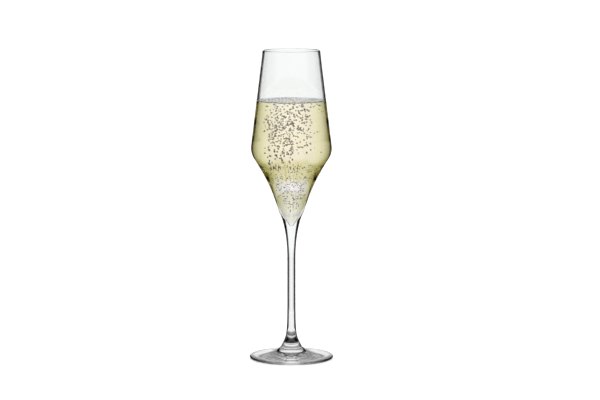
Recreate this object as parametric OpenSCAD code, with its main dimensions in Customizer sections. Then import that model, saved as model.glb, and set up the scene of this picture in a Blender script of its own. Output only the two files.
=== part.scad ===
// Champagne flute: a tall bowl with a sharp shoulder and a pointed bottom, on a thin
// stem and a round foot, poured to about two thirds with sparkling wine.
// Millimetres, +Z up, origin at the centre of the foot where the glass stands.

/* [Whole glass] */

// Overall height from the table to the rim
height = 240; // [200:1:270]

/* [Bowl] */

// Outside diameter across the rim
rim_d = 44.6; // [38:0.2:56]
// How far the upper wall leans in from upright, degrees
lean = 6.9; // [2:0.1:12]
// Glass thickness of the upper wall
wall = 1.3; // [0.8:0.1:2.5]
// Height where the upper wall and the lower wall would cross
shoulder_z = 160.7; // [140:0.1:180]
// Outside radius that rounds the shoulder
shoulder_round = 15.3; // [6:0.1:25]
// Slope of the lower wall just under the shoulder, degrees from upright
lower_slope = 33; // [22:0.5:45]
// Height where the lower wall starts to bend into the stem
neck_z = 113.5; // [105:0.5:125]
// Outside radius of the bowl at that height
neck_r = 9.1; // [7:0.1:12]
// Slope of the outside at that height, degrees from upright
neck_slope = 29.5; // [20:0.5:40]
// Height of the lowest point of the inside
tip_z = 104.1; // [98:0.1:112]
// Radius that rounds the lowest point of the inside
tip_round = 0.9; // [0.3:0.1:3]
// Half angle of the pointed bottom of the inside, degrees
tip_angle = 25; // [15:0.5:35]

/* [Stem] */

// Diameter of the stem at its middle
stem_d = 6.44; // [5:0.02:9]
// Height where the bowl's taper ends and the stem begins
stem_top = 78.3; // [65:0.1:90]
// Height where the stem starts to widen towards the foot
stem_low = 55; // [40:1:65]

/* [Foot] */

// Diameter of the foot
foot_d = 65; // [55:0.5:75]
// Thickness of the foot at its edge
edge_t = 1.8; // [1.2:0.1:3]
// Radius where the flare turns outwards into the plate
flare_r = 7.6; // [6:0.1:10]
// Height where the flare turns outwards into the plate
flare_z = 10; // [7:0.1:14]
// Width of the flat ring that the glass stands on
ring_w = 3; // [2:0.5:8]
// Height of the shallow hollow under the foot
hollow = 1.2; // [0.4:0.1:2.5]

/* [Contents] */

// Height of the wine's surface
wine_z = 200.8; // [120:0.1:220]
// Width of the collar of foam along the wall
foam_w = 2.2; // [1:0.1:4]
// Height of the collar of foam
foam_h = 1.0; // [0.5:0.1:3]

/* [Hidden] */

$fn = 96;

stem_r = stem_d / 2;

// The upper wall's outward direction, and the outside of the wall just under the rim
out = [cos(lean), sin(lean)];
rim_p = [rim_d / 2, height - wall / 2 * (1 - sin(lean))];

// Where the two outer walls would cross, and the centre of the round that joins them
cross_p = [rim_p.x + (rim_p.y - shoulder_z) * tan(lean), shoulder_z];
cut = shoulder_round * tan((lean + lower_slope) / 2);
shoulder_c = cross_p + cut * [-sin(lean), cos(lean)] - shoulder_round * out;

// Unit directions up along the lower wall, the neck and the pointed bottom
up_lower = [sin(lower_slope), cos(lower_slope)];
up_neck = [sin(neck_slope), cos(neck_slope)];
up_tip = [sin(tip_angle), cos(tip_angle)];

// n + 1 points of an arc about c from angle a to angle b
function arc(c, r, a, b, n) =
    [for (i = [0:n]) c + r * [cos(a + (b - a) * i / n), sin(a + (b - a) * i / n)]];

// n + 1 points of the smooth curve from p to s with handles q and t
function curve(p, q, t, s, n) =
    [for (i = [0:n]) let (u = i / n, v = 1 - u)
        v * v * v * p + 3 * v * v * u * q + 3 * v * u * u * t + u * u * u * s];

// A list without its first point, so that curves chain without a doubled point
function rest(list) = [for (i = [1:len(list) - 1]) list[i]];

// Points i to j of a list
function part(list, i, j) = [for (k = [i:j]) list[k]];

// Inside radius of the straight upper wall at height z
function inside_r(z) = rim_p.x - wall / cos(lean) + (rim_p.y - z) * tan(lean);

// The inside from its lowest point up to the top of the shoulder
tip_p = [0, tip_z + tip_round] + tip_round * [cos(tip_angle), -sin(tip_angle)];
in_round = shoulder_round - wall;
in_low = shoulder_c + in_round * [cos(lower_slope), -sin(lower_slope)];
inside = concat(
    arc([0, tip_z + tip_round], tip_round, -90, -tip_angle, 5),
    rest(curve(tip_p, tip_p + 20 * up_tip, in_low - 16 * up_lower, in_low, 14)),
    rest(arc(shoulder_c, in_round, -lower_slope, lean, 8))
);

// The outside of the bowl from the stem up to the top of the shoulder
neck_p = [neck_r, neck_z];
out_low = shoulder_c + shoulder_round * [cos(lower_slope), -sin(lower_slope)];
outside = concat(
    curve([stem_r, stem_top], [stem_r, stem_top + 18.7], neck_p - 4.6 * up_neck, neck_p, 12),
    rest(curve(neck_p, neck_p + 4.1 * up_neck, out_low - 27.8 * up_lower, out_low, 14)),
    rest(arc(shoulder_c, shoulder_round, -lower_slope, lean, 8))
);

// The widening from the stem to the foot; its first third belongs to the stem
flare = curve([stem_r, stem_low], [stem_r, 15.1], [flare_r - 3.9, flare_z + 8.2],
    [flare_r, flare_z], 24);
joint = 8;

edge_c = [foot_d / 2 - edge_t / 2, edge_t / 2];
ring_r = edge_c.x - ring_w;

// The bowl: its outside, the rounded rim, its inside, and the solid glass under the point
module bowl() {
    color([0.85, 0.9, 0.92, 0.35])
    rotate_extrude()
    polygon(concat(
        [[0, stem_top]],
        outside,
        arc(rim_p - wall / 2 * out, wall / 2, lean, lean + 180, 8),
        [for (i = [len(inside) - 1:-1:0]) inside[i]]
    ));
}

// The stem: plain for most of its length, a little wider where it meets the foot
module stem() {
    color([0.85, 0.9, 0.92, 0.35])
    rotate_extrude()
    polygon(concat([[0, flare[joint].y], [0, stem_top], [stem_r, stem_top]],
        part(flare, 0, joint)));
}

// The foot: the flare, the sloping plate, its rounded edge, the ring it stands on
// and the shallow hollow under it
module foot() {
    color([0.85, 0.9, 0.92, 0.35])
    rotate_extrude()
    polygon(concat(
        [[0, flare[joint].y]],
        part(flare, joint, 24),
        rest(curve([flare_r, flare_z], [flare_r + 3.2, flare_z - 6.7],
            [edge_c.x - 4, edge_t + 0.4], [edge_c.x, edge_t], 14)),
        rest(arc(edge_c, edge_t / 2, 90, -90, 8)),
        curve([ring_r, 0], [ring_r * 0.7, hollow * 0.55], [ring_r * 0.35, hollow],
            [0, hollow], 8)
    ));
}

// The wine: it fills the pointed bottom and meets the inside of the bowl all round
module wine() {
    color([0.95, 0.85, 0.45, 0.5])
    rotate_extrude()
    polygon(concat(
        inside,
        [[inside_r(wine_z), wine_z], [0, wine_z]]
    ));
}

// The foam: a low collar of small bubbles that lies on the wine along the wall
module foam() {
    color([0.95, 0.93, 0.85, 0.8])
    rotate_extrude()
    polygon(concat(
        [[inside_r(wine_z), wine_z], [inside_r(wine_z + foam_h), wine_z + foam_h]],
        arc([inside_r(wine_z) - foam_w + foam_h, wine_z], foam_h, 90, 180, 5)
    ));
}

bowl();
stem();
foot();
wine();
foam();
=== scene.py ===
"""Champagne flute: clear glass, pale sparkling wine, its bubbles and foam, and the stage."""

import math

import bpy
from bpy.props import FloatProperty, FloatVectorProperty, IntProperty, PointerProperty
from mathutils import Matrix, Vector


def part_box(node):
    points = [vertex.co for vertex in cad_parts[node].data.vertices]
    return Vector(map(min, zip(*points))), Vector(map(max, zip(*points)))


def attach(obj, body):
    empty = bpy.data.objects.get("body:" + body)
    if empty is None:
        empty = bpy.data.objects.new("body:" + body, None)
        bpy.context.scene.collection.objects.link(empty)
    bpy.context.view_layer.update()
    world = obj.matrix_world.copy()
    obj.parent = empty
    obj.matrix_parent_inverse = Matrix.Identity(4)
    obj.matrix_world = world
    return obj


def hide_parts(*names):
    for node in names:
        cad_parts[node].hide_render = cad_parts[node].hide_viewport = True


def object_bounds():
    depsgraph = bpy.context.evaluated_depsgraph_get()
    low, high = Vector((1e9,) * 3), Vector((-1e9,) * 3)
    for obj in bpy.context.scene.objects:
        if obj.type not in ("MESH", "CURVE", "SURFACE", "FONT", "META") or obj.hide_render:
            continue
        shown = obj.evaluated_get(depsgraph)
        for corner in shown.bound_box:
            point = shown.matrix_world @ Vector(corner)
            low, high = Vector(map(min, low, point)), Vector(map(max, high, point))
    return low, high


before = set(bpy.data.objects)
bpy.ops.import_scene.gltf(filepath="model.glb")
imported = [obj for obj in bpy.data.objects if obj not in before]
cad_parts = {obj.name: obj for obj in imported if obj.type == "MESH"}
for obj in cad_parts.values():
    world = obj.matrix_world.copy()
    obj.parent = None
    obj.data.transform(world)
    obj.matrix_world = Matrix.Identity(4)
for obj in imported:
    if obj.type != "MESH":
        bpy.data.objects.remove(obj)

bl_info = {
    "name": "Champagne Flute",
    "version": (1, 0, 0),
    "blender": (4, 5, 0),
    "location": "View3D > Sidebar > Flute",
    "description": "Builds a champagne flute with sparkling wine on a plain studio stage",
    "category": "Object",
}

CAD_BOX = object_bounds()

# What the solids already fix: the heights of the bowl's end, the foot's top, the wine's
# surface and the rim, and the foot's radius
BOWL_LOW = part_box("bowl")[0].z
FOOT_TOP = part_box("foot")[1].z
WINE_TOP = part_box("wine")[1].z
RIM_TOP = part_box("bowl")[1].z
FOOT_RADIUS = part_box("foot")[1].x

# The bowl's outline, in metres and degrees
RIM_RADIUS = 0.0223
LEAN = math.radians(6.9)
WALL = 0.0013
SHOULDER_Z = 0.1607
SHOULDER_ROUND = 0.0153
LOWER_SLOPE = math.radians(33)
NECK = (0.0091, 0.1135)
NECK_SLOPE = math.radians(29.5)
TIP_Z = 0.1041
TIP_ROUND = 0.0009
TIP_ANGLE = math.radians(25)
# How far each smooth curve runs on from its first and its last point before it bends
POINT_HANDLES = (0.020, 0.016)
TAPER_HANDLES = (0.0187, 0.0046)
CONE_HANDLES = (0.0041, 0.0278)

# The stem's and the foot's outline
STEM_RADIUS = 0.00322
STEM_LOW = 0.055
FLARE_BEND = 0.0151
FLARE_END = (0.0076, 0.010)
FLARE_TOE = (0.0039, 0.0082)
PLATE_TOE = (0.0032, 0.0067)
PLATE_RISE = (0.004, 0.0004)
EDGE_THICK = 0.0018
RING_WIDTH = 0.003
HOLLOW = 0.0012

# The wine's skin lies this far inside the glass, so that no film of air parts them
WET_OVERLAP = 0.00012
MENISCUS_RISE = 0.0009
MENISCUS_WIDTH = 0.0016
MENISCUS_BEND = 2.6
MENISCUS_STEPS = 12

# Straight sides round each turned piece, and the edge angle that stays sharp
SEGMENTS = 160
SHARP_ANGLE = math.radians(48)


# --------------------------------------------------------------------------- outlines


def plus(a, b, times=1.0):
    """Point a moved by times b."""
    return (a[0] + times * b[0], a[1] + times * b[1])


def arc(centre, radius, start, end, steps):
    """Points of an arc about centre, with both ends."""
    turn = [start + (end - start) * i / steps for i in range(steps + 1)]
    return [plus(centre, (math.cos(t), math.sin(t)), radius) for t in turn]


def curve(p, q, t, s, steps):
    """Points of the smooth curve from p to s with handles q and t, with both ends."""
    points = []
    for i in range(steps + 1):
        u = i / steps
        v = 1 - u
        weights = (v * v * v, 3 * v * v * u, 3 * v * u * u, u * u * u)
        points.append(
            tuple(sum(w * k[c] for w, k in zip(weights, (p, q, t, s))) for c in (0, 1))
        )
    return points


def straight(p, s, steps):
    """Points of a straight line, with both ends."""
    return [plus(p, (s[0] - p[0], s[1] - p[1]), i / steps) for i in range(steps + 1)]


def chained(*runs):
    """Joins runs of points, dropping a point that repeats the one before it."""
    points = []
    for run in runs:
        for p in run:
            if not points or math.dist(p, points[-1]) > 1e-8:
                points.append(p)
    return points


def upward(angle):
    """Unit direction that leans outwards from upright by angle."""
    return (math.sin(angle), math.cos(angle))


OUTWARD = (math.cos(LEAN), math.sin(LEAN))
RIM_SIDE = (RIM_RADIUS, RIM_TOP - WALL / 2 * (1 - math.sin(LEAN)))
CROSSING = (RIM_SIDE[0] + (RIM_SIDE[1] - SHOULDER_Z) * math.tan(LEAN), SHOULDER_Z)
CUT_BACK = SHOULDER_ROUND * math.tan((LEAN + LOWER_SLOPE) / 2)
SHOULDER = plus(
    plus(CROSSING, (-math.sin(LEAN), math.cos(LEAN)), CUT_BACK), OUTWARD, -SHOULDER_ROUND
)


def inside_radius(z, depth=WALL):
    """Radius of the straight wall at height z, measured depth into the glass."""
    return RIM_SIDE[0] - depth / math.cos(LEAN) + (RIM_SIDE[1] - z) * math.tan(LEAN)


def inside_outline(depth=WALL):
    """The bowl's inside from its lowest point up to the top of the shoulder."""
    tip_round = TIP_ROUND + WALL - depth
    tip = (0.0, TIP_Z + TIP_ROUND)
    start = plus(tip, (math.cos(TIP_ANGLE), -math.sin(TIP_ANGLE)), tip_round)
    round_in = SHOULDER_ROUND - depth
    low = plus(SHOULDER, (math.cos(LOWER_SLOPE), -math.sin(LOWER_SLOPE)), round_in)
    handle_a = plus(start, upward(TIP_ANGLE), POINT_HANDLES[0])
    handle_b = plus(low, upward(LOWER_SLOPE), -POINT_HANDLES[1])
    return chained(
        arc(tip, tip_round, -math.pi / 2, -TIP_ANGLE, 10),
        curve(start, handle_a, handle_b, low, 44),
        arc(SHOULDER, round_in, -LOWER_SLOPE, LEAN, 26),
    )


def bowl_outline():
    """The bowl's whole section: outside, rim, inside, and the glass under the point."""
    neck_up = upward(NECK_SLOPE)
    low = plus(SHOULDER, (math.cos(LOWER_SLOPE), -math.sin(LOWER_SLOPE)), SHOULDER_ROUND)
    stem = (STEM_RADIUS, BOWL_LOW)
    taper = curve(
        stem,
        plus(stem, (0, 1), TAPER_HANDLES[0]),
        plus(NECK, neck_up, -TAPER_HANDLES[1]),
        NECK,
        40,
    )
    cone = curve(
        NECK,
        plus(NECK, neck_up, CONE_HANDLES[0]),
        plus(low, upward(LOWER_SLOPE), -CONE_HANDLES[1]),
        low,
        44,
    )
    shoulder = arc(SHOULDER, SHOULDER_ROUND, -LOWER_SLOPE, LEAN, 26)
    rim = arc(plus(RIM_SIDE, OUTWARD, -WALL / 2), WALL / 2, LEAN, LEAN + math.pi, 14)
    inside = inside_outline()
    return chained(
        [(0.0, BOWL_LOW)],
        taper,
        cone,
        shoulder,
        straight(shoulder[-1], rim[0], 22),
        rim,
        straight(rim[-1], inside[-1], 22),
        inside[::-1],
    )


def flare_outline():
    """The widening from the stem to the foot's plate."""
    return curve(
        (STEM_RADIUS, STEM_LOW),
        (STEM_RADIUS, FLARE_BEND),
        (FLARE_END[0] - FLARE_TOE[0], FLARE_END[1] + FLARE_TOE[1]),
        FLARE_END,
        96,
    )


def stem_outline():
    """The stem's section, from the axis at its foot to the axis at its top."""
    upper = [p for p in flare_outline() if p[1] > FOOT_TOP - 1e-6]
    return chained(
        [(0.0, upper[-1][1])],
        upper[::-1],
        straight(upper[0], (STEM_RADIUS, BOWL_LOW), 12),
        [(0.0, BOWL_LOW)],
    )


def foot_outline():
    """The foot's section, from the hollow underneath round its edge and up the flare."""
    edge = (FOOT_RADIUS - EDGE_THICK / 2, EDGE_THICK / 2)
    ring = edge[0] - RING_WIDTH
    lower = [p for p in flare_outline() if p[1] < FOOT_TOP + 1e-6]
    plate = curve(
        FLARE_END,
        (FLARE_END[0] + PLATE_TOE[0], FLARE_END[1] - PLATE_TOE[1]),
        (edge[0] - PLATE_RISE[0], EDGE_THICK + PLATE_RISE[1]),
        (edge[0], EDGE_THICK),
        60,
    )
    hollow = curve(
        (ring, 0.0), (ring * 0.7, HOLLOW * 0.55), (ring * 0.35, HOLLOW), (0.0, HOLLOW), 40
    )
    return chained(
        hollow[::-1],
        straight((ring, 0.0), (edge[0], 0.0), 4),
        arc(edge, EDGE_THICK / 2, -math.pi / 2, math.pi / 2, 18),
        plate[::-1],
        lower[::-1],
        [(0.0, lower[0][1])],
    )


def wine_outline():
    """The wine's section: along the glass, up the meniscus and across the surface."""
    depth = WALL - WET_OVERLAP
    inside = inside_outline(depth)
    top = WINE_TOP + MENISCUS_RISE
    wall_top = (inside_radius(top, depth), top)
    meniscus = []
    for i in range(MENISCUS_STEPS + 1):
        u = i / MENISCUS_STEPS
        rise = MENISCUS_RISE * (1 - u) ** MENISCUS_BEND
        meniscus.append((wall_top[0] - MENISCUS_WIDTH * u, WINE_TOP + rise))
    return chained(
        inside,
        straight(inside[-1], wall_top, 14),
        meniscus,
        straight(meniscus[-1], (0.0, WINE_TOP), 12),
    )


# --------------------------------------------------------------------------- node trees


class Tree:
    """Adds nodes to one node tree from left to right and joins them."""

    def __init__(self, tree):
        self.tree = tree
        self.column = 0

    def node(self, kind, inputs=None, **settings):
        """A new node with its settings and its inputs, by name or by place."""
        made = self.tree.nodes.new(kind)
        made.location = (self.column * 190, -(self.column % 4) * 160)
        self.column += 1
        for key, value in settings.items():
            setattr(made, key, value)
        for key, value in (inputs or {}).items():
            self.put(made.inputs[key], value)
        return made

    def put(self, socket, value):
        """Links an output to a socket, or sets the socket to a plain value."""
        if isinstance(value, bpy.types.NodeSocket):
            self.tree.links.new(value, socket)
        else:
            socket.default_value = value

    def math(self, operation, a, b=0.0, c=0.0):
        """One Math node's result."""
        made = self.node("ShaderNodeMath", operation=operation)
        for socket, value in zip(made.inputs, (a, b, c)):
            self.put(socket, value)
        return made.outputs[0]

    def span(self, value, low, high, to_low, to_high):
        """value mapped from low..high to to_low..to_high, clamped."""
        names = ("Value", "From Min", "From Max", "To Min", "To Max")
        numbers = dict(zip(names, (value, low, high, to_low, to_high)))
        return self.node("ShaderNodeMapRange", numbers).outputs["Result"]

    def vector(self, x, y, z):
        """One vector from three numbers or outputs."""
        return self.node("ShaderNodeCombineXYZ", {0: x, 1: y, 2: z}).outputs[0]

    def parts(self, vector):
        """A vector's three numbers."""
        return self.node("ShaderNodeSeparateXYZ", {0: vector}).outputs

    def between(self, low, high, share):
        """What lies share of the way from low to high."""
        return self.math("ADD", low, self.math("MULTIPLY", share, self.math("SUBTRACT", high, low)))

    def around(self, radius, turn):
        """x and y at radius from the axis, turned by turn."""
        x = self.math("MULTIPLY", radius, self.math("COSINE", turn))
        y = self.math("MULTIPLY", radius, self.math("SINE", turn))
        return x, y

    def together(self, *parts):
        """Several sets of faces as one."""
        both = self.node("GeometryNodeJoinGeometry")
        for part in parts:
            self.put(both.inputs[0], part)
        return both.outputs[0]


def new_tree(name, kind, inputs, outputs):
    """A node group with named sockets; returns its Tree, input node and output node."""
    group = bpy.data.node_groups.new(name, kind)
    if kind == "GeometryNodeTree":
        group.is_modifier = True
    for direction, sockets in (("INPUT", inputs), ("OUTPUT", outputs)):
        for label, socket_type, default in sockets:
            made = group.interface.new_socket(label, in_out=direction, socket_type=socket_type)
            if default is not None:
                made.default_value = default
    tree = Tree(group)
    return tree, tree.node("NodeGroupInput").outputs, tree.node("NodeGroupOutput").inputs


def turned_tree():
    """Turns an outline about the upright axis into a closed skin."""
    tree, given, out = new_tree(
        "Turned Outline",
        "GeometryNodeTree",
        [
            ("Outline", "NodeSocketGeometry", None),
            ("Segments", "NodeSocketInt", SEGMENTS),
            ("Low Join", "NodeSocketFloat", -1.0),
            ("High Join", "NodeSocketFloat", -1.0),
            ("Material", "NodeSocketMaterial", None),
            ("Join Material", "NodeSocketMaterial", None),
        ],
        [("Geometry", "NodeSocketGeometry", None)],
    )
    count = tree.node(
        "GeometryNodeAttributeDomainSize", {"Geometry": given["Outline"]}, component="MESH"
    ).outputs["Point Count"]
    columns = tree.math("ADD", given["Segments"], 1.0)
    grid = tree.node("GeometryNodeMeshGrid", {"Vertices X": columns, "Vertices Y": count})
    index = tree.node("GeometryNodeInputIndex").outputs[0]
    column = tree.math("FLOOR", tree.math("DIVIDE", tree.math("ADD", index, 0.5), count))
    row = tree.math("SUBTRACT", index, tree.math("MULTIPLY", column, count))
    place = tree.node("GeometryNodeInputPosition").outputs[0]
    sample = tree.node(
        "GeometryNodeSampleIndex",
        {"Geometry": given["Outline"], "Index": row},
        data_type="FLOAT_VECTOR",
        domain="POINT",
    )
    tree.put(sample.inputs["Value"], place)
    profile = tree.parts(sample.outputs[0])
    turn = tree.math("MULTIPLY", tree.math("DIVIDE", column, given["Segments"]), 2 * math.pi)
    x, y = tree.around(profile[0], turn)
    skin = tree.node(
        "GeometryNodeSetPosition",
        {"Geometry": grid.outputs["Mesh"], "Position": tree.vector(x, y, profile[2])},
    )
    merged = tree.node(
        "GeometryNodeMergeByDistance", {"Geometry": skin.outputs[0], "Distance": 1e-6}
    )
    smooth = tree.node("GeometryNodeSetShadeSmooth", {"Geometry": merged.outputs[0]})
    whole = tree.node("GeometryNodeRealizeInstances", {"Geometry": smooth.outputs[0]})
    faced = tree.node(
        "GeometryNodeSetMaterial", {"Geometry": whole.outputs[0], "Material": given["Material"]}
    )
    height = tree.parts(place)[2]
    near_low = tree.math("COMPARE", height, given["Low Join"], 1e-5)
    near_high = tree.math("COMPARE", height, given["High Join"], 1e-5)
    joined = tree.node(
        "GeometryNodeSetMaterial",
        {
            "Geometry": faced.outputs[0],
            "Selection": tree.math("MAXIMUM", near_low, near_high),
            "Material": given["Join Material"],
        },
    )
    tree.put(out["Geometry"], joined.outputs[0])
    return tree.tree


def chance(tree, low, high, seed):
    """A random number for each point, the same every time for the same seed."""
    made = tree.node("FunctionNodeRandomValue", data_type="FLOAT")
    floats = [s for s in made.inputs if s.type == "VALUE" and s.name in ("Min", "Max")]
    tree.put(floats[0], low)
    tree.put(floats[1], high)
    tree.put(made.inputs["Seed"], seed)
    return [s for s in made.outputs if s.type == "VALUE"][0]


def beads(tree, points, size, material):
    """One small ball of each point's size on every point, as real faces."""
    ball = tree.node("GeometryNodeMeshUVSphere", {"Segments": 8, "Rings": 6, "Radius": 1.0})
    placed = tree.node(
        "GeometryNodeInstanceOnPoints",
        {"Points": points, "Instance": ball.outputs["Mesh"], "Scale": size},
    )
    real = tree.node("GeometryNodeRealizeInstances", {"Geometry": placed.outputs[0]})
    smooth = tree.node("GeometryNodeSetShadeSmooth", {"Geometry": real.outputs[0]})
    return tree.node(
        "GeometryNodeSetMaterial", {"Geometry": smooth.outputs[0], "Material": material}
    ).outputs[0]


# Room for bubbles: the radius free to them at the wine's point, at the top of its cone
# and at its widest, and how far they stay from the wall and from that limit
CONE_TOP = 0.1567
POINT_ROOM = 0.0004
CONE_ROOM = 0.0268
SHOULDER_ROOM = 0.0292
WALL_GAP = 0.0008
LIMIT_GAP = 0.0006
# A bubble's size at the wine's point beside its size at the surface, and a power above 1
# that makes small bubbles more common than large ones
YOUNG_SIZE = 0.85
BUBBLE_FINENESS = 1.4
FOAM_FINENESS = 1.6
# How high the foam is heaped against the wall
FOAM_HEAP = 0.0006


def rising_tree():
    """Bubbles scattered through the wine, packed round a centre and between two heights."""
    tree, given, out = new_tree(
        "Rising Bubbles",
        "GeometryNodeTree",
        [
            ("Geometry", "NodeSocketGeometry", None),
            ("Count", "NodeSocketInt", 300),
            ("Seed", "NodeSocketInt", 1),
            ("Lowest", "NodeSocketFloat", 0.11),
            ("Highest", "NodeSocketFloat", 0.199),
            ("Crowding", "NodeSocketFloat", 1.0),
            ("Smallest", "NodeSocketFloat", 0.0002),
            ("Largest", "NodeSocketFloat", 0.0005),
            ("Spread", "NodeSocketFloat", 1.0),
            ("Centre", "NodeSocketVector", (0.0, 0.0, 0.0)),
            ("Stretch", "NodeSocketFloat", 1.0),
            ("Material", "NodeSocketMaterial", None),
        ],
        [("Geometry", "NodeSocketGeometry", None)],
    )
    seed = given["Seed"]
    rise = tree.math("POWER", chance(tree, 0.0, 1.0, seed), given["Crowding"])
    z = tree.between(given["Lowest"], given["Highest"], rise)
    cone = tree.span(z, TIP_Z, CONE_TOP, POINT_ROOM, CONE_ROOM)
    wall = tree.span(z, CONE_TOP, WINE_TOP, SHOULDER_ROOM, inside_radius(WINE_TOP) - WALL_GAP)
    room = tree.math("SUBTRACT", tree.math("MINIMUM", cone, wall), LIMIT_GAP)
    out_by = tree.math("SQRT", chance(tree, 0.0, 1.0, tree.math("ADD", seed, 11.0)))
    turn = chance(tree, 0.0, 2 * math.pi, tree.math("ADD", seed, 23.0))
    reach = tree.math("MULTIPLY", tree.math("MULTIPLY", room, out_by), given["Spread"])
    x, y = tree.around(reach, turn)
    centre = tree.parts(given["Centre"])
    x = tree.math("ADD", x, tree.math("MULTIPLY", centre[0], room))
    y = tree.math("ADD", y, tree.math("MULTIPLY", centre[1], room))
    points = tree.node(
        "GeometryNodePoints", {"Count": given["Count"], "Position": tree.vector(x, y, z)}
    )
    draw = chance(tree, 0.0, 1.0, tree.math("ADD", seed, 37.0))
    luck = tree.math("POWER", draw, BUBBLE_FINENESS)
    growth = tree.span(z, TIP_Z, WINE_TOP, YOUNG_SIZE, 1.0)
    size = tree.between(given["Smallest"], given["Largest"], luck)
    size = tree.math("MULTIPLY", growth, size)
    tall = tree.vector(size, size, tree.math("MULTIPLY", size, given["Stretch"]))
    made = beads(tree, points.outputs[0], tall, given["Material"])
    tree.put(out["Geometry"], tree.together(given["Geometry"], made))
    return tree.tree


def foam_tree():
    """A collar of small bubbles along the wall, sparser towards the middle."""
    tree, given, out = new_tree(
        "Foam Collar",
        "GeometryNodeTree",
        [
            ("Geometry", "NodeSocketGeometry", None),
            ("Count", "NodeSocketInt", 500),
            ("Seed", "NodeSocketInt", 5),
            ("Outer Radius", "NodeSocketFloat", 0.025),
            ("Width", "NodeSocketFloat", 0.0022),
            ("Falloff", "NodeSocketFloat", 2.0),
            ("Height", "NodeSocketFloat", 0.2),
            ("Smallest", "NodeSocketFloat", 0.00025),
            ("Largest", "NodeSocketFloat", 0.0006),
            ("Material", "NodeSocketMaterial", None),
        ],
        [("Geometry", "NodeSocketGeometry", None)],
    )
    seed = given["Seed"]
    draw = chance(tree, 0.0, 1.0, tree.math("ADD", seed, 3.0))
    luck = tree.math("POWER", draw, FOAM_FINENESS)
    size = tree.between(given["Smallest"], given["Largest"], luck)
    inward = tree.math("POWER", chance(tree, 0.0, 1.0, seed), given["Falloff"])
    radius = tree.math(
        "SUBTRACT",
        tree.math("SUBTRACT", given["Outer Radius"], size),
        tree.math("MULTIPLY", inward, given["Width"]),
    )
    x, y = tree.around(radius, chance(tree, 0.0, 2 * math.pi, tree.math("ADD", seed, 7.0)))
    heap = tree.math("SUBTRACT", 1.0, inward)
    heap = tree.math("MULTIPLY", heap, chance(tree, 0.0, FOAM_HEAP, 9))
    z = tree.math("ADD", given["Height"], heap)
    points = tree.node(
        "GeometryNodePoints", {"Count": given["Count"], "Position": tree.vector(x, y, z)}
    )
    made = beads(tree, points.outputs[0], size, given["Material"])
    tree.put(out["Geometry"], tree.together(given["Geometry"], made))
    return tree.tree


# --------------------------------------------------------------------------- pieces


def piece(name, outline=()):
    """A new object at the origin whose mesh is the outline as a line of points."""
    mesh = bpy.data.meshes.new(name)
    points = [(r, 0.0, z) for r, z in outline]
    mesh.from_pydata(points, [(i, i + 1) for i in range(len(points) - 1)], [])
    made = bpy.data.objects.new(name, mesh)
    bpy.context.scene.collection.objects.link(made)
    return made


def apply_tree(obj, tree, **inputs):
    """Adds the tree as a modifier, sets its inputs by name and keeps its result."""
    modifier = obj.modifiers.new(tree.name, "NODES")
    modifier.node_group = tree
    for item in tree.interface.items_tree:
        label = item.name.replace(" ", "_").lower()
        if item.in_out == "INPUT" and label in inputs:
            modifier[item.identifier] = inputs.pop(label)
    if inputs:
        raise RuntimeError(f"{tree.name} has no input named {sorted(inputs)}")
    bpy.context.view_layer.update()
    depsgraph = bpy.context.evaluated_depsgraph_get()
    result = bpy.data.meshes.new_from_object(obj.evaluated_get(depsgraph), depsgraph=depsgraph)
    obj.modifiers.clear()
    line = obj.data
    obj.data = result
    bpy.data.meshes.remove(line)
    result.name = obj.name
    return obj


def volume_of(mesh):
    """Signed volume: positive where the faces point outwards."""
    mesh.calc_loop_triangles()
    corner = [v.co for v in mesh.vertices]
    total = 0.0
    for t in mesh.loop_triangles:
        a, b, c = (corner[i] for i in t.vertices)
        total += a.dot(b.cross(c)) / 6
    return total


def settle(obj, slot, *nodes):
    """Checks a finished piece, keeps its steep edges sharp, hangs it from the root and hides the
    solids it replaces.
    """
    if volume_of(obj.data) <= 0:
        raise RuntimeError(f"{obj.name} is inside out")
    obj.data.set_sharp_from_angle(angle=SHARP_ANGLE)
    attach(obj, "root")
    if nodes:
        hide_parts(*nodes)
    return obj


def turned(name, outline, material, join=None, low=-1.0, high=-1.0):
    """A turned piece; its faces at heights low and high take the join's material."""
    obj = piece(name, outline)
    tree = bpy.data.node_groups.get("Turned Outline") or turned_tree()
    return apply_tree(
        obj,
        tree,
        segments=SEGMENTS,
        low_join=low,
        high_join=high,
        material=material,
        join_material=join or material,
    )


# --------------------------------------------------------------------------- materials


def new_material(name, shader="ShaderNodeBsdfPrincipled"):
    """An empty material with one shader; returns it, its Tree, shader and output."""
    material = bpy.data.materials.new(name)
    material.use_nodes = True
    material.node_tree.nodes.clear()
    tree = Tree(material.node_tree)
    bsdf = tree.node(shader)
    out = tree.node("ShaderNodeOutputMaterial", {"Surface": bsdf.outputs[0]})
    return material, tree, bsdf, out


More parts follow.
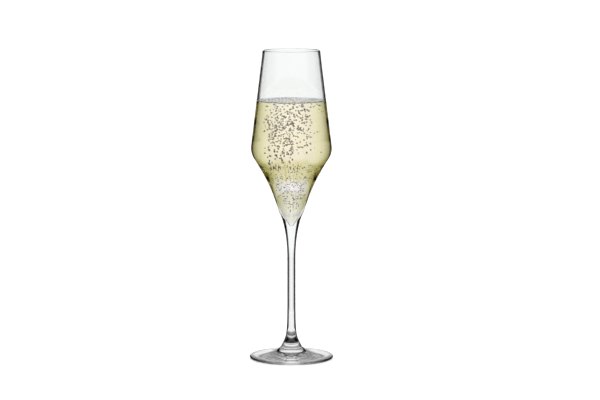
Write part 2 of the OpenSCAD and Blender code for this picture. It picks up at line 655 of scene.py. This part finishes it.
def drawn_surface_group():
    """Faint upright waves and patches of a second colour: specks of dust, as on drawn glass, and
    painted shade where the bubbles and the foam use it.
    """
    tree, given, out = new_tree(
        "Drawn Surface",
        "ShaderNodeTree",
        [
            ("Clear", "NodeSocketColor", (1.0, 1.0, 1.0, 1.0)),
            ("Film", "NodeSocketColor", (0.95, 0.96, 0.96, 1.0)),
            ("Film Amount", "NodeSocketFloat", 0.3),
            ("Smooth", "NodeSocketFloat", 0.0),
            ("Hazy", "NodeSocketFloat", 0.02),
            ("Film Scale", "NodeSocketFloat", 38.0),
            ("Wave Scale", "NodeSocketFloat", 60.0),
            ("Wave Height", "NodeSocketFloat", 0.00002),
        ],
        [
            ("Color", "NodeSocketColor", None),
            ("Roughness", "NodeSocketFloat", None),
            ("Normal", "NodeSocketVector", None),
        ],
    )
    place = tree.node("ShaderNodeTexCoord").outputs["Object"]
    stretched = tree.node("ShaderNodeMapping", {"Vector": place, "Scale": (1.0, 1.0, 0.12)})
    waves = tree.node(
        "ShaderNodeTexNoise",
        {"Vector": stretched.outputs[0], "Scale": given["Wave Scale"], "Detail": 1.0},
    ).outputs[0]
    patches = tree.node(
        "ShaderNodeTexNoise",
        {"Vector": place, "Scale": given["Film Scale"], "Detail": 3.0, "Roughness": 0.6},
    ).outputs[0]
    film = tree.span(patches, 0.48, 0.75, 0.0, 1.0)
    colour = tree.node(
        "ShaderNodeMix",
        {"Factor": tree.math("MULTIPLY", film, given["Film Amount"])},
        data_type="RGBA",
    )
    tree.put(colour.inputs[6], given["Clear"])
    tree.put(colour.inputs[7], given["Film"])
    tree.put(out["Color"], colour.outputs[2])
    gap = tree.math("SUBTRACT", given["Hazy"], given["Smooth"])
    tree.put(out["Roughness"], tree.math("ADD", given["Smooth"], tree.math("MULTIPLY", film, gap)))
    bump = tree.node(
        "ShaderNodeBump",
        {"Strength": 1.0, "Distance": given["Wave Height"], "Height": waves},
    )
    tree.put(out["Normal"], bump.outputs[0])
    return tree.tree


def surface(tree, bsdf, **values):
    """Puts the Drawn Surface group into a material and joins it to its shader."""
    group = bpy.data.node_groups.get("Drawn Surface") or drawn_surface_group()
    made = tree.node("ShaderNodeGroup", node_tree=group)
    for socket in made.inputs:
        label = socket.name.replace(" ", "_").lower()
        if label in values:
            socket.default_value = values.pop(label)
    if values:
        raise RuntimeError(f"Drawn Surface has no input named {sorted(values)}")
    colour = "Base Color" if "Base Color" in bsdf.inputs else "Color"
    tree.put(bsdf.inputs[colour], made.outputs["Color"])
    tree.put(bsdf.inputs["Roughness"], made.outputs["Roughness"])
    tree.put(bsdf.inputs["Normal"], made.outputs["Normal"])
    return made


def kept(name, build):
    """The material of that name, built on first use."""
    return bpy.data.materials.get(name) or build(name)


def clear_glass(name="Clear Glass"):
    """Colourless fire-polished glass."""
    look = bpy.context.scene.flute_glass
    material, tree, bsdf, _ = new_material(name)
    surface(
        tree,
        bsdf,
        clear=(*look.tint, 1.0),
        film=(0.97, 0.975, 0.975, 1.0),
        film_amount=0.4,
        smooth=0.0,
        hazy=0.0035,
        wave_scale=70.0,
        wave_height=look.wave,
    )
    bsdf.inputs["IOR"].default_value = look.ior
    bsdf.inputs["Transmission Weight"].default_value = 1.0
    return material


def fused_joint(name="Fused Joint"):
    """Where two pieces of the same glass melt together: nothing is there for light."""
    material, tree, bsdf, _ = new_material(name)
    surface(
        tree,
        bsdf,
        clear=(1.0, 1.0, 1.0, 1.0),
        film=(1.0, 1.0, 1.0, 1.0),
        film_amount=0.0,
        smooth=0.0,
        hazy=0.0,
        wave_scale=70.0,
        wave_height=0.0,
    )
    bsdf.inputs["IOR"].default_value = 1.0
    bsdf.inputs["Alpha"].default_value = 0.0
    return material


def sparkling_wine(name="Sparkling Wine"):
    """Pale straw-yellow liquid that darkens with depth."""
    look = bpy.context.scene.flute_wine
    material, tree, bsdf, out = new_material(name)
    surface(
        tree,
        bsdf,
        clear=(1.0, 1.0, 1.0, 1.0),
        film=(0.97, 0.955, 0.91, 1.0),
        film_amount=0.5,
        smooth=0.0,
        hazy=0.02,
        wave_scale=45.0,
        wave_height=0.0,
    )
    bsdf.inputs["IOR"].default_value = 1.34
    bsdf.inputs["Transmission Weight"].default_value = 1.0
    depth = tree.node("ShaderNodeVolumeAbsorption")
    depth.inputs["Color"].default_value = (*look.colour, 1.0)
    depth.inputs["Density"].default_value = look.strength
    tree.put(out.inputs["Volume"], depth.outputs[0])
    return material


def bubble_gas(name="Bubble"):
    """Gas in the wine: light bends away from it at its rim; its colour is painted dark brown with
    near-black patches, painted shade for the dark ring it shows.
    """
    material, tree, bsdf, _ = new_material(name, "ShaderNodeBsdfGlass")
    surface(
        tree,
        bsdf,
        # Painted shade: dark brown gas, near black in patches
        clear=(0.36, 0.23, 0.07, 1.0),
        film=(0.03, 0.02, 0.02, 1.0),
        film_amount=1.0,
        smooth=0.0,
        hazy=0.05,
        film_scale=320.0,
        wave_scale=900.0,
        wave_height=0.0,
    )
    bsdf.inputs["IOR"].default_value = 0.746
    return material


def foam_skin(name="Foam"):
    """Skins of the foam's bubbles: milky white, with near-black patches of painted shade."""
    material, tree, bsdf, _ = new_material(name)
    surface(
        tree,
        bsdf,
        clear=(0.98, 0.98, 0.97, 1.0),
        # Painted shade: near-black patches among the white
        film=(0.02, 0.02, 0.02, 1.0),
        film_amount=1.0,
        smooth=0.05,
        hazy=0.3,
        film_scale=600.0,
        wave_scale=700.0,
        wave_height=0.0,
    )
    bsdf.inputs["IOR"].default_value = 1.33
    bsdf.inputs["Transmission Weight"].default_value = 0.1
    return material


# --------------------------------------------------------------------------- settings


class FluteGlassSettings(bpy.types.PropertyGroup):
    """Looks of the glass."""

    tint: FloatVectorProperty(
        name="Tint",
        description="Colour that the glass lends to light",
        subtype="COLOR",
        size=3,
        min=0.0,
        max=1.0,
        default=(0.995, 1.0, 1.0),
    )
    ior: FloatProperty(
        name="Index of refraction",
        description="How strongly the glass bends light",
        min=1.4,
        max=1.8,
        default=1.52,
    )
    wave: FloatProperty(
        name="Wave height",
        description="Height of the faint waves that drawing leaves in the surface",
        unit="LENGTH",
        min=0.0,
        max=0.0002,
        precision=6,
        default=0.000004,
    )


class FluteWineSettings(bpy.types.PropertyGroup):
    """Looks of the wine and its bubbles."""

    colour: FloatVectorProperty(
        name="Wine colour",
        description="Colour that stays in light after it has passed through the wine",
        subtype="COLOR",
        size=3,
        min=0.0,
        max=1.0,
        default=(0.985, 0.87, 0.08),
    )
    strength: FloatProperty(
        name="Wine strength",
        description="How quickly the colour deepens, per metre",
        min=0.0,
        max=200.0,
        default=14.0,
    )
    bubbles: IntProperty(
        name="Bubbles",
        description="How many bubbles rise in the wine",
        min=0,
        max=3000,
        default=900,
    )
    bubble_radius: FloatProperty(
        name="Bubble radius",
        description="Radius of the largest bubbles",
        unit="LENGTH",
        min=0.0001,
        max=0.002,
        precision=5,
        default=0.0006,
    )
    foam_bubbles: IntProperty(
        name="Foam bubbles",
        description="How many bubbles make the collar of foam",
        min=0,
        max=4000,
        default=1700,
    )


class FluteStageSettings(bpy.types.PropertyGroup):
    """Floor, light and camera."""

    floor_colour: FloatVectorProperty(
        name="Floor colour",
        description="Colour of the floor",
        subtype="COLOR",
        size=3,
        min=0.0,
        max=1.0,
        default=(0.92, 0.92, 0.92),
    )
    light: FloatProperty(
        name="Light",
        description="Strength of the soft light round the glass",
        min=0.0,
        max=10.0,
        default=1.0,
    )
    overhead: FloatProperty(
        name="Overhead",
        description="Strength of what the glass shows of the light overhead",
        min=0.0,
        max=10.0,
        default=0.1,
    )
    floor_light: FloatProperty(
        name="Floor light",
        description="Strength of the soft light on the floor",
        min=0.0,
        max=10.0,
        default=1.6,
    )
    echo: FloatProperty(
        name="Echo",
        description="What each throw back inside the wine leaves of the light",
        min=0.0,
        max=1.0,
        default=0.85,
    )
    card_gap: FloatProperty(
        name="Card gap",
        description="Distance of each dark card from the glass's axis",
        unit="LENGTH",
        min=0.034,
        max=1.0,
        default=0.040,
    )
    glow: FloatProperty(
        name="Glow",
        description="How bright the card behind the glass is",
        min=0.0,
        max=5.0,
        default=1.0,
    )


# --------------------------------------------------------------------------- operators


class FLUTE_OT_glass(bpy.types.Operator):
    """Turn the bowl, the stem and the foot, fused end to end"""

    bl_idname = "flute.glass"
    bl_label = "Glass"

    def execute(self, context):
        glass = kept("Clear Glass", clear_glass)
        joint = kept("Fused Joint", fused_joint)
        bowl = turned("bowl_glass", bowl_outline(), glass, joint, low=BOWL_LOW)
        stem = turned("stem_glass", stem_outline(), glass, joint, low=FOOT_TOP, high=BOWL_LOW)
        foot = turned("foot_glass", foot_outline(), glass, joint, high=FOOT_TOP)
        settle(bowl, "glass", "bowl")
        settle(stem, "glass", "stem")
        settle(foot, "glass", "foot")
        return {"FINISHED"}


class FLUTE_OT_wine(bpy.types.Operator):
    """Pour the wine"""

    bl_idname = "flute.wine"
    bl_label = "Wine"

    def execute(self, context):
        wine = turned("wine_body", wine_outline(), kept("Sparkling Wine", sparkling_wine))
        settle(wine, "wine", "wine")
        return {"FINISHED"}


# Bands of bubbles: each one's share of all of them, its size beside the largest, its
# heights, how it crowds downwards, how wide it is and where its middle lies
BUBBLE_BANDS = (
    dict(
        share=0.38, size=1.0, seed=4, lowest=0.160, highest=0.1985,
        crowding=0.75, spread=0.60, centre=(-0.08, -0.28, 0.0), stretch=1.0,
    ),
    dict(
        share=0.14, size=1.0, seed=9, lowest=0.158, highest=0.186,
        crowding=1.0, spread=0.34, centre=(-0.28, -0.3, 0.0), stretch=1.0,
    ),
    dict(
        share=0.08, size=0.8, seed=15, lowest=0.158, highest=0.199,
        crowding=0.8, spread=0.96, centre=(0.0, 0.0, 0.0), stretch=1.0,
    ),
    dict(
        share=0.37, size=0.75, seed=21, lowest=0.116, highest=0.156,
        crowding=0.7, spread=0.70, centre=(0.0, -0.2, 0.0), stretch=1.0,
    ),
    dict(
        share=0.03, size=0.8, seed=30, lowest=0.1515, highest=0.1575,
        crowding=1.0, spread=0.40, centre=(-0.2, -0.3, 0.0), stretch=2.4,
    ),
)
# The smallest bubble of a band beside its largest
SMALLEST = 0.6
BAND_INPUTS = ("seed", "lowest", "highest", "crowding", "spread", "centre", "stretch")


class FLUTE_OT_bubbles(bpy.types.Operator):
    """Fill the wine with rising bubbles"""

    bl_idname = "flute.bubbles"
    bl_label = "Bubbles"

    def execute(self, context):
        look = context.scene.flute_wine
        gas = kept("Bubble", bubble_gas)
        tree = bpy.data.node_groups.get("Rising Bubbles") or rising_tree()
        bubbles = piece("wine_bubbles")
        for band in BUBBLE_BANDS:
            radius = look.bubble_radius * band["size"]
            apply_tree(
                bubbles,
                tree,
                count=round(look.bubbles * band["share"]),
                smallest=radius * SMALLEST,
                largest=radius,
                material=gas,
                **{name: band[name] for name in BAND_INPUTS},
            )
        settle(bubbles, "wine")
        return {"FINISHED"}


# How far in from the wall loose foam reaches, how fast it thins out, how far it stands
# above the wine, and the radii of its bubbles
FOAM_REACH = 0.0200
FOAM_FALLOFF = 2.4
FOAM_LIFT = 0.0001
FOAM_RADII = (0.0002, 0.0005)


class FLUTE_OT_foam(bpy.types.Operator):
    """Lay the collar of foam on the wine"""

    bl_idname = "flute.foam"
    bl_label = "Foam"

    def execute(self, context):
        look = context.scene.flute_wine
        skin = kept("Foam", foam_skin)
        tree = bpy.data.node_groups.get("Foam Collar") or foam_tree()
        foam = piece("foam_collar")
        apply_tree(
            foam,
            tree,
            count=look.foam_bubbles,
            seed=5,
            outer_radius=inside_radius(WINE_TOP),
            width=FOAM_REACH,
            falloff=FOAM_FALLOFF,
            height=WINE_TOP + FOAM_LIFT,
            smallest=FOAM_RADII[0],
            largest=FOAM_RADII[1],
            material=skin,
        )
        settle(foam, "foam", "foam")
        return {"FINISHED"}


def plane(name, corners, material):
    """A flat stage piece from its corners."""
    mesh = bpy.data.meshes.new(name)
    mesh.from_pydata(corners, [], [tuple(range(len(corners)))])
    mesh.materials.append(material)
    made = bpy.data.objects.new(name, mesh)
    bpy.context.scene.collection.objects.link(made)
    return made


def upright(half, low, high, depth):
    """Corners of an upright card, as wide to both sides, seen from the camera."""
    return [(-half, low, depth), (half, low, depth), (half, high, depth), (-half, high, depth)]


# Outlines of the dark cards: height beside the middle of the glass, then how far in
# front of and behind the axis the card reaches there
TALL_CARD = (
    (-0.088, 0.03, 0.095),
    (-0.040, 0.03, 0.095),
    (0.030, 0.03, 0.064),
    (0.300, 0.03, 0.060),
)
FOOT_CARD = ((-0.30, 0.065, 0.095), (-0.088, 0.065, 0.095))
# The tall cards are black at the axis and brighten to white this far in front of it
FRONT_FADE = 0.03

FLOOR_HALF = 12.0
FLOOR_GAP = 0.0001
BACK_DISTANCE = 0.2
BACK_TALL = 0.3
CARD_HALF = 0.25
BRIGHTEST = 1.5
# Light that has crossed more surfaces than this has been through the wine
GLASS_ALONE = 4.5
# Light that has met a dull surface more often than this lights it, and isn't seen as is
NOT_LIT = 0.5

# The back card's colour at each distance from its middle, as the wine shows it
WINE_WASH = (
    (0.0, (0.98, 0.99, 1.46)),
    (0.018, (0.97, 0.975, 1.41)),
    (0.04, (0.87, 0.875, 1.20)),
    (0.066, (0.81, 0.826, 0.875)),
    (0.104, (0.72, 0.727, 0.674)),
    (0.13, (0.584, 0.583, 0.435)),
    (0.15, (0.52, 0.51, 0.374)),
    (0.22, (0.25, 0.24, 0.16)),
)
# The same low down, between these heights and below, as the stem shows it
STEM_LEVELS = (-0.05, -0.02)
STEM_WASH = (
    (0.0, (0.93, 0.93, 0.93)),
    (0.02, (0.90, 0.90, 0.90)),
    (0.05, (0.80, 0.80, 0.80)),
    (0.08, (0.50, 0.50, 0.50)),
    (0.105, (0.14, 0.14, 0.14)),
)
# Where the back card's upper part starts, how far that start bends down to the sides,
# and what is left there of its colour
HIGH_FROM = 0.085
HIGH_TO = 0.105
HIGH_SIDES = (0.03, 0.06)
HIGH_BEND = 0.027
HIGH_TINT = (0.82, 0.81, 0.53)
# The back card's colour as the empty part of the bowl shows it, and the lengths of path
# over which it darkens by a share for light that comes the long way through the wall
ABOVE_WINE = (0.96, 0.97, 0.96)
LONG_WAY = (0.23, 0.25)
LONG_WAY_LOSS = 0.75

# Painted shade: what the see-through card lets through, by height above its lower edge; it darkens
# and yellows what the wine shows there
THIN_SHADE_WASH = (
    (0.0, (1.0, 1.0, 0.66)),
    (0.010, (0.95, 0.95, 0.59)),
    (0.020, (0.93, 0.93, 0.58)),
    (0.030, (0.87, 0.86, 0.60)),
    (0.046, (0.83, 0.82, 0.585)),
    (0.053, (1.0, 1.0, 1.0)),
)
THIN_LOW = -0.01
THIN_DISTANCE = 0.1
THIN_HALF = 0.12
THIN_REACH = 0.06

# Painted shadow: how bright glass shows the floor at each distance from the middle of the foot,
# black under the flare and in a ring under the foot's edge
FLOOR_PAINTED_SHADOW = (
    (0.0, (0.0, 0.0, 0.0)),
    (0.012, (0.01, 0.01, 0.01)),
    (0.016, (0.30, 0.30, 0.30)),
    (0.020, (0.80, 0.80, 0.80)),
    (0.0285, (0.80, 0.80, 0.80)),
    (0.0305, (0.02, 0.02, 0.02)),
    (0.0365, (0.02, 0.02, 0.02)),
    (0.040, (0.10, 0.10, 0.10)),
    (0.052, (0.09, 0.09, 0.09)),
    (0.060, (0.28, 0.28, 0.28)),
    (0.068, (0.57, 0.57, 0.57)),
    (0.12, (0.56, 0.56, 0.56)),
)
FLOOR_REACH = 0.2
# Painted shade: the floor as the wine shows it, mid grey
FLOOR_SHADE_UNDER_WINE = (0.56, 0.56, 0.56, 1.0)
# Painted light: the floor just in front of the foot, within a strip about its middle, bright where
# glass shows it
FRONT_FLOOR_PAINTED_LIGHT = (0.9, 0.9, 0.9, 1.0)
FRONT_LIGHT_FROM = (-0.030, -0.024)
FRONT_LIGHT_STRIP = (0.005, 0.014)

# Upward slopes between which what glass shows of the light grows darker
OVERHEAD_SLOPES = (0.60, 0.85)
# What is left of that light in glass alone once it has been thrown back over two times
THROWN_BACK = 0.25

# The camera: its sensor and lens in millimetres, its place in metres, and its shift
SENSOR_HEIGHT = 24.0
SENSOR_WIDTH = 30.7
LENS_LENGTH = 144.5
CAMERA_PLACE = (0.0, -1.85, 0.367)
LENS_SHIFT = (0.0215, 0.01225)


def through_wine(tree, path):
    """1 for light that has been through the wine, 0 for light through glass alone."""
    return tree.math("GREATER_THAN", path["Transmission Depth"], GLASS_ALONE)


def echo(tree, path, strength):
    """What is left of light that has been thrown back on its way through the wine."""
    times = tree.math("MULTIPLY", through_wine(tree, path), path["Glossy Depth"])
    return tree.math("POWER", strength, times)


def behind_glass(name, camera, corners, material):
    """A card that hangs from the camera, follows it to any view and shows only in glass."""
    card = plane(name, corners, material)
    card.parent = camera
    card.visible_camera = False
    card.visible_diffuse = False
    card.visible_shadow = False
    card.visible_volume_scatter = False
    return card


def dark_cards(camera, far, look):
    """Narrow black cards beside the glass, which draw its edges dark."""
    cards = []
    for kind, outline, front_glow in (("tall", TALL_CARD, 1.0), ("foot", FOOT_CARD, 0.0)):
        black, tree, bsdf, out = new_material(f"Dark Card {kind}", "ShaderNodeEmission")
        place = tree.node("ShaderNodeTexCoord").outputs["Object"]
        depth = tree.parts(place)[2]
        path = tree.node("ShaderNodeLightPath").outputs
        ramp = tree.span(depth, -far, FRONT_FADE - far, 0.0, front_glow)
        left = echo(tree, path, look.echo)
        tree.put(bsdf.inputs["Strength"], tree.math("MULTIPLY", ramp, left))
        unlit = tree.math("LESS_THAN", path["Diffuse Depth"], NOT_LIT)
        sharp = tree.math("MULTIPLY", path["Is Singular Ray"], unlit)
        absent = tree.node("ShaderNodeBsdfTransparent").outputs[0]
        seen = tree.node("ShaderNodeMixShader", {0: sharp, 1: absent, 2: bsdf.outputs[0]})
        tree.put(out.inputs["Surface"], seen.outputs[0])
        for side, x in (("left", -look.card_gap), ("right", look.card_gap)):
            front = [(x, level, near - far) for level, near, _ in outline]
            rear = [(x, level, -behind - far) for level, _, behind in reversed(outline)]
            cards.append(behind_glass(f"{kind}_card_{side}", camera, front + rear, black))
    return cards


def wash(tree, value, stops, reach, scale=1.0):
    """A colour that changes with value along the stops, which end within reach."""
    made = tree.node("ShaderNodeValToRGB", {"Fac": tree.span(value, 0.0, reach, 0.0, 1.0)})
    ramp = made.color_ramp.elements
    for i, (at, colour) in enumerate(stops):
        stop = ramp[i] if i < 2 else ramp.new(at / reach)
        stop.position = at / reach
        stop.color = (*(channel / scale for channel in colour), 1.0)
    return made.outputs[0]


def blend(tree, factor, first, second, kind="MIX"):
    """Mixes two colours."""
    made = tree.node("ShaderNodeMix", {"Factor": factor}, data_type="RGBA", blend_type=kind)
    tree.put(made.inputs[6], first)
    tree.put(made.inputs[7], second)
    return made.outputs[2]


def back_card(camera, far, look):
    """A wide glowing card behind the glass, brightest behind the wine."""
    glow, tree, bsdf, _ = new_material("Back Card", "ShaderNodeEmission")
    path = tree.node("ShaderNodeLightPath").outputs
    place = tree.node("ShaderNodeTexCoord").outputs["Object"]
    across = tree.parts(place)
    aside = tree.math("ABSOLUTE", across[0])
    level = across[1]
    wine = wash(tree, aside, WINE_WASH, CARD_HALF, BRIGHTEST)
    lowered = tree.math("SUBTRACT", level, tree.span(aside, *HIGH_SIDES, 0.0, HIGH_BEND))
    high = tree.span(lowered, HIGH_FROM, HIGH_TO, 0.0, 1.0)
    wine = blend(tree, high, wine, (*HIGH_TINT, 1.0), "MULTIPLY")
    empty = (*(channel / BRIGHTEST for channel in ABOVE_WINE), 1.0)
    long_way = tree.span(path["Ray Length"], *LONG_WAY, 0.0, LONG_WAY_LOSS)
    empty = blend(tree, long_way, empty, (0.0, 0.0, 0.0, 1.0))
    upper = blend(tree, through_wine(tree, path), empty, wine)
    low = tree.span(level, *STEM_LEVELS, 1.0, 0.0)
    lower = wash(tree, aside, STEM_WASH, CARD_HALF, BRIGHTEST)
    tree.put(bsdf.inputs["Color"], blend(tree, low, upper, lower))
    strength = tree.math("MULTIPLY", BRIGHTEST * look.glow, echo(tree, path, look.echo))
    tree.put(bsdf.inputs["Strength"], strength)
    corners = upright(CARD_HALF, -BACK_TALL, BACK_TALL, -far - BACK_DISTANCE)
    card = behind_glass("card_back", camera, corners, glow)
    card.visible_glossy = False
    return card


def thin_card(camera, far):
    """A see-through card close behind the wine, a sheet of painted shade that darkens and yellows
    what the wine shows at some heights.
    """
    shade_veil, tree, bsdf, _ = new_material("Thin Card", "ShaderNodeBsdfTransparent")
    path = tree.node("ShaderNodeLightPath").outputs
    place = tree.node("ShaderNodeTexCoord").outputs["Object"]
    level = tree.parts(place)[1]
    height = tree.math("SUBTRACT", level, THIN_LOW)
    # Painted shade: darker and yellower at these heights, for light through the wine
    dimmed = wash(tree, height, THIN_SHADE_WASH, THIN_REACH)
    clear = (1.0, 1.0, 1.0, 1.0)
    tree.put(bsdf.inputs["Color"], blend(tree, through_wine(tree, path), clear, dimmed))
    top = THIN_LOW + THIN_SHADE_WASH[-1][0]
    corners = upright(THIN_HALF, THIN_LOW, top, -far - THIN_DISTANCE)
    card = behind_glass("card_thin", camera, corners, shade_veil)
    card.visible_glossy = False
    return card


def pale_floor(look):
    """White floor with a faint gloss. What glass shows of it is painted with shade: a painted
    shadow under and round the foot, a painted patch of light just in front of it, and grey through
    the wine.
    """
    pale, tree, bsdf, _ = new_material("Pale Floor")
    path = tree.node("ShaderNodeLightPath").outputs
    place = tree.node("ShaderNodeTexCoord").outputs["Object"]
    away = tree.node("ShaderNodeVectorMath", {0: place}, operation="LENGTH").outputs["Value"]
    across = tree.parts(place)
    aside = tree.math("ABSOLUTE", across[0])
    # Painted light: a bright patch of floor just in front of the foot
    strip = tree.span(aside, *FRONT_LIGHT_STRIP, 1.0, 0.0)
    front = tree.math("MULTIPLY", strip, tree.span(across[1], *FRONT_LIGHT_FROM, 1.0, 0.0))
    # Painted shadow under and round the foot
    shade = blend(tree, front, wash(tree, away, FLOOR_PAINTED_SHADOW, FLOOR_REACH), FRONT_FLOOR_PAINTED_LIGHT)
    # Painted shade: grey where the wine shows the floor, darker after each throw back inside it
    shade = blend(tree, through_wine(tree, path), shade, FLOOR_SHADE_UNDER_WINE)
    dim = echo(tree, path, look.echo)
    shade = blend(tree, 1.0, shade, tree.vector(dim, dim, dim), "MULTIPLY")
    through = tree.math("MAXIMUM", path["Is Transmission Ray"], path["Is Glossy Ray"])
    plain = (*look.floor_colour, 1.0)
    tree.put(bsdf.inputs["Base Color"], blend(tree, through, plain, shade))
    bsdf.inputs["Roughness"].default_value = 0.12
    bsdf.inputs["Specular IOR Level"].default_value = 0.2
    return pale


def soft_light(look):
    """Even white light; what glass shows of it darkens overhead."""
    world = bpy.data.worlds.new("Soft Light")
    world.use_nodes = True
    world.node_tree.nodes.clear()
    sky = Tree(world.node_tree)
    path = sky.node("ShaderNodeLightPath").outputs
    toward = sky.node("ShaderNodeTexCoord").outputs["Generated"]
    rise = sky.parts(toward)[2]
    dome = sky.span(rise, *OVERHEAD_SLOPES, look.light, look.overhead)
    dome = sky.math("MULTIPLY", dome, echo(sky, path, look.echo))
    left = sky.span(path["Glossy Depth"], 2.0, 3.0, 1.0, THROWN_BACK)
    left = sky.math("MAXIMUM", through_wine(sky, path), left)
    dome = sky.math("MULTIPLY", dome, left)
    through = sky.math("MAXIMUM", path["Is Transmission Ray"], path["Is Glossy Ray"])
    unlit = sky.math("LESS_THAN", path["Diffuse Depth"], NOT_LIT)
    through = sky.math("MULTIPLY", through, unlit)
    plain = sky.node("ShaderNodeMix", {"Factor": through}, data_type="FLOAT")
    sky.put(plain.inputs[2], look.floor_light)
    sky.put(plain.inputs[3], dome)
    seen = sky.node("ShaderNodeMix", {"Factor": path["Is Camera Ray"]}, data_type="FLOAT")
    sky.put(seen.inputs[2], plain.outputs[0])
    sky.put(seen.inputs[3], 1.0)
    back = sky.node("ShaderNodeBackground", {"Color": (1, 1, 1, 1), "Strength": seen.outputs[0]})
    sky.node("ShaderNodeOutputWorld", {"Surface": back.outputs[0]})
    return world


class FLUTE_OT_stage(bpy.types.Operator):
    """Set up the floor, the soft light, the dark cards and the camera"""

    bl_idname = "flute.stage"
    bl_label = "Stage"

    def execute(self, context):
        scene = context.scene
        look = scene.flute_stage
        scene.view_settings.view_transform = "Standard"

        ways = ((-1, -1), (1, -1), (1, 1), (-1, 1))
        corners = [(x * FLOOR_HALF, y * FLOOR_HALF, -FLOOR_GAP) for x, y in ways]
        floor = plane("floor", corners, pale_floor(look))
        scene.world = soft_light(look)

        lens = bpy.data.cameras.new("Camera")
        camera = bpy.data.objects.new("Camera", lens)
        scene.collection.objects.link(camera)
        lens.sensor_fit = "VERTICAL"
        lens.sensor_height = SENSOR_HEIGHT
        lens.sensor_width = SENSOR_WIDTH
        lens.lens = LENS_LENGTH
        lens.clip_start = 0.05
        lens.clip_end = 20.0
        centre = Vector((0.0, 0.0, (CAD_BOX[0].z + CAD_BOX[1].z) / 2))
        place = Vector(CAMERA_PLACE)
        camera.rotation_mode = "QUATERNION"
        camera.location = place
        camera.rotation_quaternion = (centre - place).to_track_quat("-Z", "Y")
        lens.shift_x = LENS_SHIFT[0]
        lens.shift_y = LENS_SHIFT[1]
        scene.camera = camera

        far = (place - centre).length
        cards = dark_cards(camera, far, look)
        cards.append(back_card(camera, far, look))
        cards.append(thin_card(camera, far))

        scene.cycles.max_bounces = 40
        scene.cycles.transmission_bounces = 40
        scene.cycles.glossy_bounces = 16
        scene.cycles.diffuse_bounces = 4
        scene.cycles.transparent_max_bounces = 40
        return {"FINISHED"}


class FLUTE_PT_panel(bpy.types.Panel):
    """Lists the flute's settings and steps"""

    bl_idname = "FLUTE_PT_panel"
    bl_label = "Champagne Flute"
    bl_space_type = "VIEW_3D"
    bl_region_type = "UI"
    bl_category = "Flute"

    def draw(self, context):
        layout = self.layout
        for settings in ("flute_glass", "flute_wine", "flute_stage"):
            group = getattr(context.scene, settings)
            box = layout.box()
            for name in group.__annotations__:
                box.prop(group, name)
        for step in STEPS:
            layout.operator(step.bl_idname)


SETTINGS = {
    "flute_glass": FluteGlassSettings,
    "flute_wine": FluteWineSettings,
    "flute_stage": FluteStageSettings,
}
STEPS = (FLUTE_OT_glass, FLUTE_OT_wine, FLUTE_OT_bubbles, FLUTE_OT_foam, FLUTE_OT_stage)


def register():
    for name, group in SETTINGS.items():
        bpy.utils.register_class(group)
        setattr(bpy.types.Scene, name, PointerProperty(type=group))
    for cls in (*STEPS, FLUTE_PT_panel):
        bpy.utils.register_class(cls)


def unregister():
    for cls in reversed((*STEPS, FLUTE_PT_panel)):
        bpy.utils.unregister_class(cls)
    for name, group in SETTINGS.items():
        delattr(bpy.types.Scene, name)
        bpy.utils.unregister_class(group)


def main():
    """Registers the add-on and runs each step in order."""
    register()
    bpy.ops.flute.glass()
    bpy.ops.flute.wine()
    bpy.ops.flute.bubbles()
    bpy.ops.flute.foam()
    bpy.ops.flute.stage()


if __name__ == "__main__":
    main()
